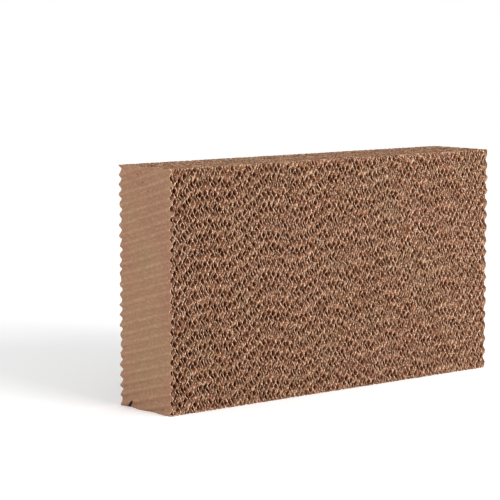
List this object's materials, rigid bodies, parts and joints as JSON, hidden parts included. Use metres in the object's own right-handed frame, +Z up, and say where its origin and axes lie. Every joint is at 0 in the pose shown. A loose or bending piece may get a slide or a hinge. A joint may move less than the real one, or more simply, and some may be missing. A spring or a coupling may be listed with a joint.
{
  "type": "evaporative cooling pad",
  "caption": "Upright block of fluted brown paper sheets glued crest to crest; its crossing flutes let air through while water runs down, to cool a livestock house.",
  "frame": {"origin": "middle of the pad's underside, on the floor", "axes": "+X along the stack of sheets to the right as seen from the front, +Y from the air inlet face at the front through to the back, +Z up"},
  "size_m": [1.1, 0.2, 0.6],
  "materials": {
    "resin_paper": "matt, resin-soaked"
  },
  "bodies": {
    "root": {"left_end_sheet": "resin_paper", "shallow_sheets_1": "resin_paper", "shallow_sheets_2": "resin_paper", "shallow_sheets_3": "resin_paper", "shallow_sheets_4": "resin_paper", "shallow_sheets_5": "resin_paper", "shallow_sheets_6": "resin_paper", "steep_sheets_1": "resin_paper", "steep_sheets_2": "resin_paper", "steep_sheets_3": "resin_paper", "steep_sheets_4": "resin_paper", "steep_sheets_5": "resin_paper", "steep_sheets_6": "resin_paper", "right_end_sheet": "resin_paper"}
  },
  "joints": []
}
